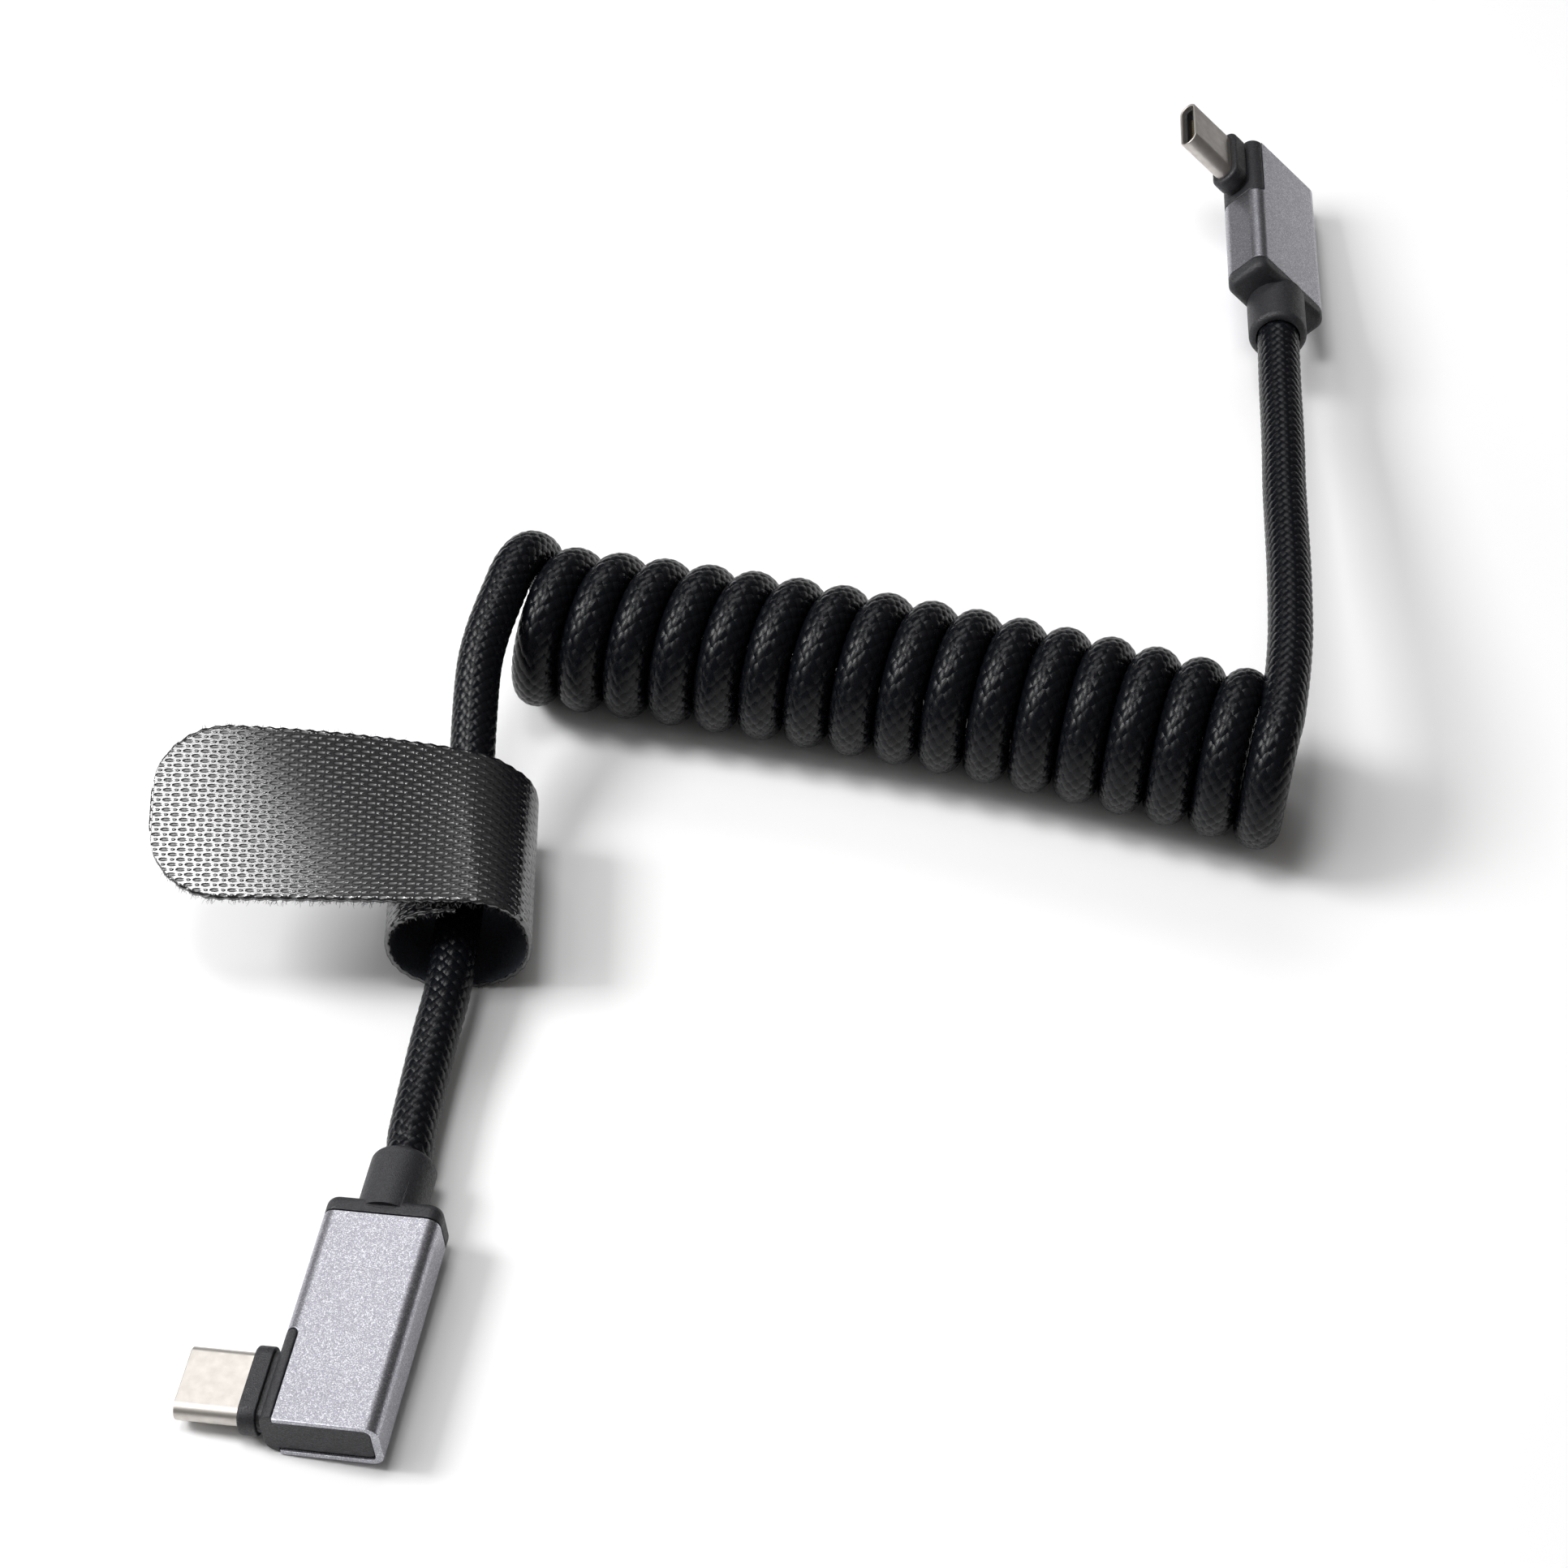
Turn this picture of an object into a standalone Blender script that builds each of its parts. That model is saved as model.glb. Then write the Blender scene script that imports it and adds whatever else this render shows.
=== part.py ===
"""Braided USB-C to USB-C cable with a wound coil, two right-angle plugs and a hook-and-loop strap.

The cable lies on a level surface, z = 0. The left plug is at low Y, the coil in the middle and the
right plug at high Y. Every length is in metres: a value in millimetres is written times MM.
"""
import math

import bmesh
import bpy
from mathutils import Euler, Matrix, Vector

MM = 0.001

# Gap left between two neighbouring pieces, as thin as a moulding seam
SEAM = 0.2 * MM
# How far a cutter reaches past the face that it cuts
OVERRUN = 2.0 * MM
SMOOTH_ANGLE = math.radians(35.0)

# Connector tongue, as the USB Type-C plug is standardised
TONGUE_WIDTH = 8.25 * MM
TONGUE_HEIGHT = 2.4 * MM
TONGUE_REACH = 6.65 * MM
TONGUE_ROUNDNESS = 0.49
SHELL_WALL = 0.3 * MM
SHELL_SEAT = 1.8 * MM
INSULATOR_RECESS = 0.5 * MM
SLOT_WIDTH = 6.3 * MM
SLOT_HEIGHT = 0.75 * MM
SLOT_DEPTH = 5.0 * MM

# Plug body: an aluminium sleeve over a moulded core, with a notch for the core's side strip
BODY_WIDTH = 12.16 * MM
BODY_THICKNESS = 5.87 * MM
BODY_CORNER = 1.46 * MM
SLEEVE_LENGTH = 25.5 * MM
SLEEVE_SIDE_WALL = 0.88 * MM
SLEEVE_FACE_WALL = 0.6 * MM
SLEEVE_BORE_CORNER = 0.7 * MM
NOTCH_LENGTH = 11.0 * MM
NOTCH_LAND = 0.5 * MM
NOTCH_CORNER = 0.8 * MM
CORE_RECESS = 0.25 * MM

# Collar round the foot of the tongue: a flange on a narrower neck, moulded with the core
TONGUE_CENTRE = 5.1 * MM
COLLAR_WIDTH = 9.6 * MM
COLLAR_HEIGHT = 3.9 * MM
COLLAR_REACH = 2.5 * MM
COLLAR_CORNER = 1.7 * MM
COLLAR_EDGE = 0.35 * MM
NECK_LENGTH = 0.6 * MM
NECK_INSET = 0.4 * MM

# End cap and the round boot that the cable leaves
CAP_LENGTH = 2.1 * MM
CAP_EDGE = 0.9 * MM
BOOT_DIAMETER = 6.9 * MM
BOOT_LENGTH = 6.6 * MM
BOOT_EDGE = 1.0 * MM

# Cable
CABLE_DIAMETER = 5.0 * MM
CABLE_GAP = 0.4 * MM
CABLE_STRAIGHT = 1.5 * MM
TUBE_STEP = 2.0 * CABLE_DIAMETER
TUBE_RESOLUTION = 3

# Coil: 17 close turns in a slight bow, as one fat tube with a rounded lobe for each turn
COIL_TURNS = 17
COIL_PITCH = 5.064 * MM
COIL_RADIUS_LEFT = 9.13 * MM
COIL_RADIUS_RIGHT = 9.6 * MM
COIL_BOW = 2.08 * MM
COIL_VALLEY = 1.2 * MM
COIL_YAW = math.radians(-14.9)
COIL_RESOLUTION = 10
STEPS_PER_TURN = 4
FIRST_STEP = 2
LOBE_STEP = 3

# Hook-and-loop strap: a flattened loop round the cable, and a tail that stands off to the left
STRAP_WIDTH = 20.0 * MM
STRAP_THICKNESS = 1.2 * MM
STRAP_LOOP_WIDTH = 15.6 * MM
STRAP_LOOP_HEIGHT = 14.4 * MM
STRAP_SQUARENESS = 2.25
STRAP_TAIL = 33.0 * MM
STRAP_TAIL_RISE = 0.3 * MM
STRAP_END_RADIUS = 8.0 * MM
STRAP_TWIST = math.radians(17.0)
STRAP_SIDE_SHIFT = 2.2 * MM
STRAP_STEP = 1.6 * MM

# Layout: where the pieces lie, and the middle of the plugs and the strap, which is the origin
MIDDLE_X = -0.72 * MM
MIDDLE_Y = 3.65 * MM
LEFT_PLUG_X = -44.65 * MM
LEFT_PLUG_Y = -88.94 * MM
LEFT_PLUG_TURN = (0.0, -5.2, -10.5)
RIGHT_PLUG_X = 60.1 * MM
RIGHT_PLUG_Y = 96.6 * MM
RIGHT_PLUG_Z = 5.75 * MM
RIGHT_PLUG_TURN = (170.6, 45.0, -9.3)
COIL_X = -29.65 * MM
COIL_Y = 16.07 * MM
STRAP_X = -34.2 * MM
STRAP_Y = -19.9 * MM
MIDDLE = Vector((MIDDLE_X, MIDDLE_Y, 0.0))

# Route of the cable's two free ends, between a boot and the coil, in millimetres
LEFT_ROUTE = (
    (-37.95, -51.4, 3.6),
    (-37.2, -45.6, 3.65),
    (-36.3, -39.4, 3.95),
    (-35.1, -32.2, 4.6),
    (-34.2, -21.3, 6.2),
    (-33.8, -11.5, 8.15),
    (-33.6, -1.4, 11.4),
    (-33.25, 4.5, 13.7),
    (-32.55, 8.05, 15.0),
    (-31.65, 11.05, 15.9),
    (-30.7, 13.95, 16.55),
    (-30.05, 16.07, 16.85),
)
RIGHT_ROUTE = (
    (54.7, 3.2, 16.85),
    (55.1, 6.6, 16.5),
    (55.6, 12.6, 15.8),
    (56.05, 19.3, 15.0),
    (56.4, 26.1, 14.1),
    (56.8, 33.7, 13.1),
    (57.25, 39.9, 12.3),
    (57.65, 46.2, 11.4),
    (58.0, 52.7, 10.55),
)


def new_collection(name):
    collection = bpy.data.collections.new(name)
    bpy.context.scene.collection.children.link(collection)
    return collection


def new_material(name, colour, roughness, metallic=0.0):
    material = bpy.data.materials.new(name)
    material.use_nodes = True
    shader = material.node_tree.nodes["Principled BSDF"]
    shader.inputs["Base Color"].default_value = (*colour, 1.0)
    shader.inputs["Roughness"].default_value = roughness
    shader.inputs["Metallic"].default_value = metallic
    return material


def add_object(name, data, collection, material=None, parent=None):
    obj = bpy.data.objects.new(name, data)
    collection.objects.link(obj)
    obj.parent = parent
    if material:
        data.materials.append(material)
    return obj


def add_helper(mesh, cutters, parent=None):
    """A hidden object that only cuts another one or is joined to it."""
    helper = add_object(mesh.name, mesh, cutters, parent=parent)
    helper.hide_render = True
    helper.display_type = "WIRE"
    return helper


def combine(obj, helper, operation):
    modifier = obj.modifiers.new(helper.name, "BOOLEAN")
    modifier.operation = operation
    modifier.object = helper
    modifier.solver = "EXACT"


def span(low, high):
    """Length and middle of a stretch between two coordinates."""
    return high - low, (high + low) / 2.0


def bar_between(name, along, low, high, corner=0.0, segments=3):
    """A straight bar along axis 0, 1 or 2 between two corners, its four long edges rounded."""
    spans = [span(a, b) for a, b in zip(low, high)]
    sizes = Vector([length for length, middle in spans])
    centre = Vector([middle for length, middle in spans])
    mesh = bpy.data.meshes.new(name)
    bm = bmesh.new()
    bmesh.ops.create_cube(bm, size=1.0)
    for vert in bm.verts:
        vert.co = vert.co * sizes + centre
    if corner > 0.0:
        others = [axis for axis in range(3) if axis != along]
        long_edges = [
            edge for edge in bm.edges
            if all(abs(edge.verts[0].co[axis] - edge.verts[1].co[axis]) < 1e-7 for axis in others)
        ]
        bmesh.ops.bevel(bm, geom=long_edges, offset=corner, segments=segments,
                        profile=0.5, affect="EDGES")
    bm.to_mesh(mesh)
    bm.free()
    mesh.shade_smooth()
    mesh.set_sharp_from_angle(angle=SMOOTH_ANGLE)
    return mesh


def round_rim(bm, axis, level, width, segments):
    """Round the edges that lie at one level of an axis."""
    rim = [edge for edge in bm.edges if all(abs(vert.co[axis] - level) < 1e-7 for vert in edge.verts)]
    bmesh.ops.bevel(bm, geom=rim, offset=width, segments=segments, profile=0.5, affect="EDGES")


def round_mesh_rim(mesh, axis, level, width, segments):
    bm = bmesh.new()
    bm.from_mesh(mesh)
    round_rim(bm, axis, level, width, segments)
    bm.to_mesh(mesh)
    bm.free()


def notch_plan(name, clearance):
    """A bar seen in plan as the notch, made smaller all round by a clearance."""
    edge = SLEEVE_SIDE_WALL + NOTCH_LAND - BODY_WIDTH / 2
    return bar_between(name, 2, (-BODY_WIDTH / 2 - OVERRUN, -OVERRUN, -BODY_THICKNESS / 2 - OVERRUN),
                       (edge - clearance, NOTCH_LENGTH - clearance, BODY_THICKNESS / 2 + OVERRUN),
                       NOTCH_CORNER - clearance)


def build_sleeve(side, parts, cutters, material, parent):
    half_width, half_height = BODY_WIDTH / 2, BODY_THICKNESS / 2
    mesh = bar_between(side + "_sleeve", 1, (-half_width, 0.0, -half_height),
                       (half_width, SLEEVE_LENGTH, half_height), BODY_CORNER)
    sleeve = add_object(side + "_sleeve", mesh, parts, material, parent)
    bore = bar_between(side + "_sleeve_bore", 1,
                       (SLEEVE_SIDE_WALL - half_width, -OVERRUN, SLEEVE_FACE_WALL - half_height),
                       (half_width - SLEEVE_SIDE_WALL, SLEEVE_LENGTH + OVERRUN, half_height - SLEEVE_FACE_WALL),
                       SLEEVE_BORE_CORNER)
    combine(sleeve, add_helper(bore, cutters, parent), "DIFFERENCE")
    combine(sleeve, add_helper(notch_plan(side + "_sleeve_notch", 0.0), cutters, parent), "DIFFERENCE")
    return sleeve


def build_core(side, parts, cutters, material, parent):
    half_width, half_height = BODY_WIDTH / 2, BODY_THICKNESS / 2
    side_inset = SLEEVE_SIDE_WALL + SEAM
    face_inset = SLEEVE_FACE_WALL + SEAM
    mesh = bar_between(side + "_core", 1, (side_inset - half_width, CORE_RECESS, face_inset - half_height),
                       (half_width - side_inset, SLEEVE_LENGTH - SEAM, half_height - face_inset),
                       SLEEVE_BORE_CORNER)
    core = add_object(side + "_core", mesh, parts, material, parent)
    strip = bar_between(side + "_core_strip", 1, (-half_width, CORE_RECESS, -half_height),
                        (half_width, NOTCH_LENGTH + OVERRUN, half_height), BODY_CORNER)
    strip_helper = add_helper(strip, cutters, parent)
    combine(strip_helper, add_helper(notch_plan(side + "_core_strip_plan", SEAM), cutters, parent), "INTERSECT")
    combine(core, strip_helper, "UNION")
    half_collar = COLLAR_WIDTH / 2
    tip = -half_width - COLLAR_REACH
    neck = bar_between(side + "_core_neck", 0,
                       (-half_width - NECK_LENGTH - SEAM, TONGUE_CENTRE - half_collar + NECK_INSET,
                        NECK_INSET - COLLAR_HEIGHT / 2),
                       (SLEEVE_SIDE_WALL + NOTCH_LAND - half_width, TONGUE_CENTRE + half_collar - NECK_INSET,
                        COLLAR_HEIGHT / 2 - NECK_INSET),
                       COLLAR_CORNER - NECK_INSET)
    combine(core, add_helper(neck, cutters, parent), "UNION")
    flange = bar_between(side + "_core_flange", 0, (tip, TONGUE_CENTRE - half_collar, -COLLAR_HEIGHT / 2),
                         (-half_width - NECK_LENGTH, TONGUE_CENTRE + half_collar, COLLAR_HEIGHT / 2),
                         COLLAR_CORNER)
    round_mesh_rim(flange, 0, tip, COLLAR_EDGE, 2)
    combine(core, add_helper(flange, cutters, parent), "UNION")
    seat = bar_between(side + "_core_seat", 0,
                       (tip - OVERRUN, TONGUE_CENTRE - TONGUE_WIDTH / 2 - SEAM, -TONGUE_HEIGHT / 2 - SEAM),
                       (tip + SHELL_SEAT, TONGUE_CENTRE + TONGUE_WIDTH / 2 + SEAM, TONGUE_HEIGHT / 2 + SEAM),
                       TONGUE_HEIGHT * TONGUE_ROUNDNESS)
    combine(core, add_helper(seat, cutters, parent), "DIFFERENCE")
    return core


def tongue_ends():
    """Where the tongue's tip and its root in the collar lie along the plug's X axis."""
    collar_tip = -BODY_WIDTH / 2 - COLLAR_REACH
    return collar_tip - TONGUE_REACH, collar_tip + SHELL_SEAT - SEAM


def build_shell(side, parts, cutters, material, parent):
    tip, root = tongue_ends()
    low = Vector((tip, TONGUE_CENTRE - TONGUE_WIDTH / 2, -TONGUE_HEIGHT / 2))
    high = Vector((root, TONGUE_CENTRE + TONGUE_WIDTH / 2, TONGUE_HEIGHT / 2))
    corner = TONGUE_HEIGHT * TONGUE_ROUNDNESS
    shell = add_object(side + "_shell", bar_between(side + "_shell", 0, low, high, corner, 4),
                       parts, material, parent)
    wall = Vector((0.0, SHELL_WALL, SHELL_WALL))
    overrun = Vector((OVERRUN, 0.0, 0.0))
    bore = bar_between(side + "_shell_bore", 0, low + wall - overrun, high - wall + overrun,
                       corner - SHELL_WALL, 4)
    combine(shell, add_helper(bore, cutters, parent), "DIFFERENCE")
    return shell


def build_insulator(side, parts, cutters, material, parent):
    tip, root = tongue_ends()
    inset = SHELL_WALL + SEAM
    low = (tip + INSULATOR_RECESS, TONGUE_CENTRE - TONGUE_WIDTH / 2 + inset, inset - TONGUE_HEIGHT / 2)
    high = (root, TONGUE_CENTRE + TONGUE_WIDTH / 2 - inset, TONGUE_HEIGHT / 2 - inset)
    mesh = bar_between(side + "_insulator", 0, low, high, TONGUE_HEIGHT * TONGUE_ROUNDNESS - inset)
    insulator = add_object(side + "_insulator", mesh, parts, material, parent)
    slot = bar_between(side + "_insulator_slot", 0,
                       (tip - OVERRUN, TONGUE_CENTRE - SLOT_WIDTH / 2, -SLOT_HEIGHT / 2),
                       (tip + SLOT_DEPTH, TONGUE_CENTRE + SLOT_WIDTH / 2, SLOT_HEIGHT / 2))
    combine(insulator, add_helper(slot, cutters, parent), "DIFFERENCE")
    return insulator


def build_cap(side, parts, cutters, material, parent):
    """The end cap and its round boot, one moulding."""
    half_width, half_height = BODY_WIDTH / 2, BODY_THICKNESS / 2
    back = SLEEVE_LENGTH + CAP_LENGTH
    mesh = bar_between(side + "_cap", 1, (-half_width, SLEEVE_LENGTH + SEAM, -half_height),
                       (half_width, back, half_height), BODY_CORNER)
    round_mesh_rim(mesh, 1, back, CAP_EDGE, 2)
    cap = add_object(side + "_cap", mesh, parts, material, parent)
    boot = bpy.data.meshes.new(side + "_cap_boot")
    overlap = CAP_LENGTH / 2
    half_length = (BOOT_LENGTH + overlap) / 2
    bm = bmesh.new()
    bmesh.ops.create_cone(bm, cap_ends=True, segments=24, radius1=BOOT_DIAMETER / 2,
                          radius2=BOOT_DIAMETER / 2, depth=2 * half_length)
    round_rim(bm, 2, half_length, BOOT_EDGE, 3)
    stand = Matrix.Translation((0.0, back - overlap + half_length, 0.0)) @ Matrix.Rotation(-math.pi / 2, 4, "X")
    bmesh.ops.transform(bm, matrix=stand, verts=bm.verts)
    bm.to_mesh(boot)
    bm.free()
    combine(cap, add_helper(boot, cutters, parent), "UNION")
    return cap


def plug_matrix(place, turn):
    turn = Euler([math.radians(angle) for angle in turn], "XYZ")
    return Matrix.LocRotScale(place - MIDDLE, turn, None)


def build_plug(side, matrix, parts, cutters, materials):
    """Local frame: +Y along the body from its open end to the cable, the tongue points to -X."""
    stand = bpy.data.objects.new(side + "_plug", None)
    parts.objects.link(stand)
    stand.matrix_world = matrix
    build_sleeve(side, parts, cutters, materials["aluminium"], stand)
    build_core(side, parts, cutters, materials["moulding"], stand)
    build_shell(side, parts, cutters, materials["steel"], stand)
    build_insulator(side, parts, cutters, materials["insulator"], stand)
    build_cap(side, parts, cutters, materials["moulding"], stand)


def boot_mouth(matrix):
    """Where the cable's solid starts, just past the boot's end, and the way it leaves."""
    end = SLEEVE_LENGTH + CAP_LENGTH + BOOT_LENGTH + CABLE_GAP
    return matrix @ Vector((0.0, end, 0.0)), matrix.to_3x3() @ Vector((0.0, 1.0, 0.0))


def catmull_rom(points, t):
    """A point on the smooth curve through a list of points, t running from 0 to len - 1."""
    i = min(int(t), len(points) - 2)
    u = t - i
    p1, p2 = points[i], points[i + 1]
    p0 = points[i - 1] if i > 0 else p1 * 2 - p2
    p3 = points[i + 2] if i + 2 < len(points) else p2 * 2 - p1
    return 0.5 * (2 * p1 + (p2 - p0) * u + (2 * p0 - 5 * p1 + 4 * p2 - p3) * u ** 2
                  + (3 * p1 - p0 - 3 * p2 + p3) * u ** 3)


def read_curve(points, step):
    """Points read from the smooth curve at even spacing, both ends kept."""
    fine_count = 40 * (len(points) - 1)
    fine = [catmull_rom(points, (len(points) - 1) * k / fine_count) for k in range(fine_count + 1)]
    run = [0.0]
    for a, b in zip(fine, fine[1:]):
        run.append(run[-1] + (b - a).length)
    count = max(2, round(run[-1] / step))
    result = []
    for k in range(count + 1):
        goal = run[-1] * k / count
        i = max(j for j in range(len(run)) if run[j] <= goal + 1e-12)
        i = min(i, len(fine) - 2)
        u = (goal - run[i]) / (run[i + 1] - run[i])
        result.append(fine[i].lerp(fine[i + 1], u))
    return result


def tube_curve(name, points, radii, depth, resolution):
    curve = bpy.data.curves.new(name, "CURVE")
    curve.dimensions = "3D"
    curve.bevel_depth = depth
    curve.bevel_resolution = resolution
    curve.use_fill_caps = True
    spline = curve.splines.new("POLY")
    spline.points.add(len(points) - 1)
    for point, co, radius in zip(spline.points, points, radii):
        point.co = (*co, 1.0)
        point.radius = radius
    return curve


def curve_as_mesh(curve, collection):
    """The curve's solid as a mesh with its caps welded on."""
    holder = bpy.data.objects.new(curve.name, curve)
    collection.objects.link(holder)
    depsgraph = bpy.context.evaluated_depsgraph_get()
    mesh = bpy.data.meshes.new_from_object(holder.evaluated_get(depsgraph))
    bpy.data.objects.remove(holder)
    bm = bmesh.new()
    bm.from_mesh(mesh)
    bmesh.ops.remove_doubles(bm, verts=bm.verts, dist=1e-7)
    bmesh.ops.recalc_face_normals(bm, faces=bm.faces)
    bm.to_mesh(mesh)
    bm.free()
    return mesh


def coil_section(turn):
    """The centre and the outer radius of the coil's cross-section, a number of turns along it."""
    share = turn / COIL_TURNS
    along = Vector((math.cos(COIL_YAW), math.sin(COIL_YAW), 0.0))
    across = Vector((-math.sin(COIL_YAW), math.cos(COIL_YAW), 0.0))
    radius = COIL_RADIUS_LEFT + (COIL_RADIUS_RIGHT - COIL_RADIUS_LEFT) * share
    bow = 4 * COIL_BOW * share * (1 - share)
    start = Vector((COIL_X, COIL_Y, radius)) - MIDDLE
    return start + along * COIL_PITCH * turn + across * bow, radius


def build_coil(parts, cutters, material):
    """One fat tube as wide as the coil, with a rounded lobe for each turn and its bore open."""
    depth = COIL_RADIUS_LEFT
    points, radii = [], []
    for step in range(FIRST_STEP, COIL_TURNS * STEPS_PER_TURN + 2):
        place, radius = coil_section(step / STEPS_PER_TURN)
        valley = COIL_VALLEY * math.sin(math.pi * (step - LOBE_STEP) / STEPS_PER_TURN) ** 4
        points.append(place)
        radii.append((radius - valley) / depth)
    outer = curve_as_mesh(tube_curve("coil", points, radii, depth, COIL_RESOLUTION), parts)
    coil = add_object("coil", outer, parts, material)
    bore_points, bore_radii = [], []
    for turn in range(-1, COIL_TURNS + 3):
        place, radius = coil_section(turn)
        bore_points.append(place)
        bore_radii.append((radius - CABLE_DIAMETER) / depth)
    bore = curve_as_mesh(tube_curve("coil_bore", bore_points, bore_radii, depth, COIL_RESOLUTION), cutters)
    combine(coil, add_helper(bore, cutters), "DIFFERENCE")
    return coil


def build_lead(name, points, parts, material):
    route = read_curve(points, TUBE_STEP)
    curve = tube_curve(name, route, [1.0] * len(route), CABLE_DIAMETER / 2, TUBE_RESOLUTION)
    return add_object(name, curve, parts, material)


def strap_path():
    """The strap's middle line, from the inner end under the tail round the loop and out to the tail's end."""
    half = STRAP_THICKNESS / 2
    reach = STRAP_LOOP_WIDTH / 2 - half
    rise = STRAP_LOOP_HEIGHT / 2 - half
    path = []
    for degrees in range(90, 450, 30):
        across, up = math.cos(math.radians(degrees)), math.sin(math.radians(degrees))
        x = reach * math.copysign(abs(across) ** (2 / STRAP_SQUARENESS), across)
        height = rise - STRAP_THICKNESS - 2 * SEAM if degrees < 180 else rise
        z = STRAP_LOOP_HEIGHT / 2 + height * math.copysign(abs(up) ** (2 / STRAP_SQUARENESS), up)
        path.append(Vector((x, 0.0, z)))
    top = STRAP_LOOP_HEIGHT - half
    for quarter in range(5):
        share = quarter / 4
        path.append(Vector((-STRAP_TAIL * share, 0.0, top + STRAP_TAIL_RISE * share)))
    return path


def build_strap(parts, material):
    """A band laid through the path's points: an open surface given its thickness by Solidify."""
    path = read_curve(strap_path(), STRAP_STEP)
    across = (-1.0, -0.5, 0.0, 0.5, 1.0)
    place = Vector((STRAP_X, STRAP_Y, 0.0)) - MIDDLE
    tail = STRAP_TAIL - STRAP_LOOP_WIDTH / 2
    bm = bmesh.new()
    rows = []
    for point in path:
        free_run = max(0.0, -point.x - STRAP_LOOP_WIDTH / 2)
        share = free_run / tail if point.z > STRAP_LOOP_HEIGHT / 2 else 0.0
        to_end = STRAP_END_RADIUS - (STRAP_TAIL + point.x)
        rounding = 0.0
        if to_end > 0.0 and share > 0.0:
            rounding = STRAP_END_RADIUS - math.sqrt(max(0.0, STRAP_END_RADIUS ** 2 - to_end ** 2))
        half_width = STRAP_WIDTH / 2 - rounding
        twist = STRAP_TWIST * share
        side = Vector((0.0, math.cos(twist), math.sin(twist)))
        middle = place + point + Vector((0.0, STRAP_SIDE_SHIFT * share, 0.0))
        rows.append([bm.verts.new(middle + side * half_width * u) for u in across])
    for row, following in zip(rows, rows[1:]):
        for k in range(len(across) - 1):
            bm.faces.new((row[k], row[k + 1], following[k + 1], following[k]))
    mesh = bpy.data.meshes.new("strap")
    bm.to_mesh(mesh)
    bm.free()
    mesh.shade_smooth()
    strap = add_object("strap", mesh, parts, material)
    solidify = strap.modifiers.new("thickness", "SOLIDIFY")
    solidify.thickness = STRAP_THICKNESS
    solidify.offset = 0.0
    solidify.use_even_offset = True
    return strap


def main():
    for obj in list(bpy.data.objects):
        bpy.data.objects.remove(obj)
    parts = new_collection("braided_usb_c_cable")
    cutters = new_collection("cutters")
    materials = {
        "aluminium": new_material("anodised_aluminium", (0.40, 0.39, 0.43), 0.42, 1.0),
        "moulding": new_material("black_moulding", (0.016, 0.017, 0.019), 0.5),
        "steel": new_material("plated_steel", (0.78, 0.74, 0.69), 0.3, 1.0),
        "insulator": new_material("black_insulator", (0.02, 0.02, 0.022), 0.4),
        "braid": new_material("black_braid", (0.018, 0.018, 0.02), 0.45),
        "strap": new_material("strap_weave", (0.05, 0.05, 0.055), 0.6),
    }
    # The left plug lies on its boot, the right one leans on its corner
    left_place = Vector((LEFT_PLUG_X, LEFT_PLUG_Y, BOOT_DIAMETER / 2))
    right_place = Vector((RIGHT_PLUG_X, RIGHT_PLUG_Y, RIGHT_PLUG_Z))
    left = plug_matrix(left_place, LEFT_PLUG_TURN)
    right = plug_matrix(right_place, RIGHT_PLUG_TURN)
    build_plug("left", left, parts, cutters, materials)
    build_plug("right", right, parts, cutters, materials)
    build_coil(parts, cutters, materials["braid"])
    start, way = boot_mouth(left)
    route = [start, start + way * CABLE_STRAIGHT] + [Vector(p) * MM - MIDDLE for p in LEFT_ROUTE]
    build_lead("left_lead", route, parts, materials["braid"])
    start, way = boot_mouth(right)
    route = [Vector(p) * MM - MIDDLE for p in RIGHT_ROUTE] + [start + way * CABLE_STRAIGHT, start]
    build_lead("right_lead", route, parts, materials["braid"])
    build_strap(parts, materials["strap"])


main()
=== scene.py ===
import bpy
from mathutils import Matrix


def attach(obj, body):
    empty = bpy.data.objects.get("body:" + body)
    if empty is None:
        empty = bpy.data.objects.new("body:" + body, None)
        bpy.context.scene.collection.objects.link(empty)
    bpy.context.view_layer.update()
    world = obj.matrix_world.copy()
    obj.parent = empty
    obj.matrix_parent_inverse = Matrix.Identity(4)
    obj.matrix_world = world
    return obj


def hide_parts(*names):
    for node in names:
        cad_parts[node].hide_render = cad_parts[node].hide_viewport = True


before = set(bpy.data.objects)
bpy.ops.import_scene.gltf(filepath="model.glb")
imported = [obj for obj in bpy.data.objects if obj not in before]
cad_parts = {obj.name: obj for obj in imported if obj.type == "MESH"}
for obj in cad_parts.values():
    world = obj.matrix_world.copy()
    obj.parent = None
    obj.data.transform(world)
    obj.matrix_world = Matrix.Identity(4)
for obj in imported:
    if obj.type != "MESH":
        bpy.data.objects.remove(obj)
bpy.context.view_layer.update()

import math

import bpy
import numpy as np
from mathutils import Euler, Matrix, Vector

# The camera stands half a metre off and looks down at the cable over the near plug, through a
# long lens. The frame is square and the cable nearly fills it from corner to corner.
MM = 0.001
scene = bpy.context.scene
camera_data = bpy.data.cameras.new("photo_camera")
camera_data.sensor_width = 36.0
camera_data.lens = 101.24
camera = bpy.data.objects.new("photo_camera", camera_data)
scene.collection.objects.link(camera)
camera.location = Vector((0.72, -332.1, 360.4)) * MM
aim = Vector((0.72, -3.65, 0.0)) * MM - camera.location
camera.rotation_euler = aim.to_track_quat("-Z", "Y").to_euler()
scene.camera = camera
scene.view_settings.view_transform = "Standard"

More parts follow.
